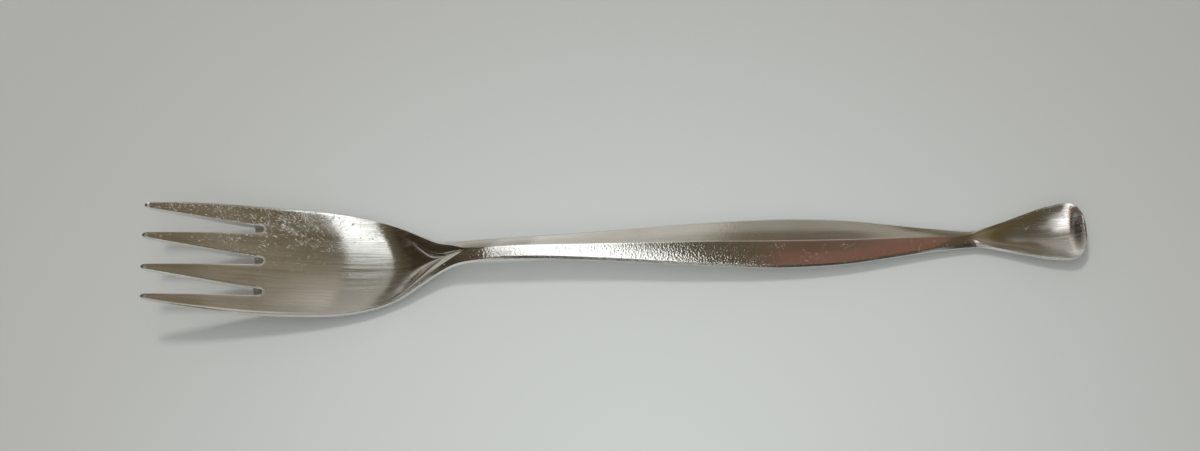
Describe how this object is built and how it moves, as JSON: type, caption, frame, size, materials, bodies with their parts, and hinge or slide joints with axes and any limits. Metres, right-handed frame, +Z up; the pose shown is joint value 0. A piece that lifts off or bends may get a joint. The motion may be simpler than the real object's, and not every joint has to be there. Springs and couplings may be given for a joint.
{
  "type": "oyster fork",
  "caption": "Small table fork with short tapering tines, a shallow bowl, a ridged handle that swells and narrows, and a spoon-shaped end.",
  "frame": {"origin": "middle of the fork's length and width, on the table it lies on", "axes": "+X along the fork to the end of the handle, tine tips at -X; +Z up, out of the hollow side; +Y across the fork"},
  "size_m": [0.1454, 0.0182, 0.0122],
  "materials": {
    "steel": "polished metal, worn to a soft sheen with fine hairlines along its length"
  },
  "bodies": {
    "root": {"left_outer_tine": "steel", "left_inner_tine": "steel", "right_inner_tine": "steel", "right_outer_tine": "steel", "bowl": "steel", "neck": "steel", "handle": "steel", "end_scoop": "steel"}
  },
  "joints": []
}
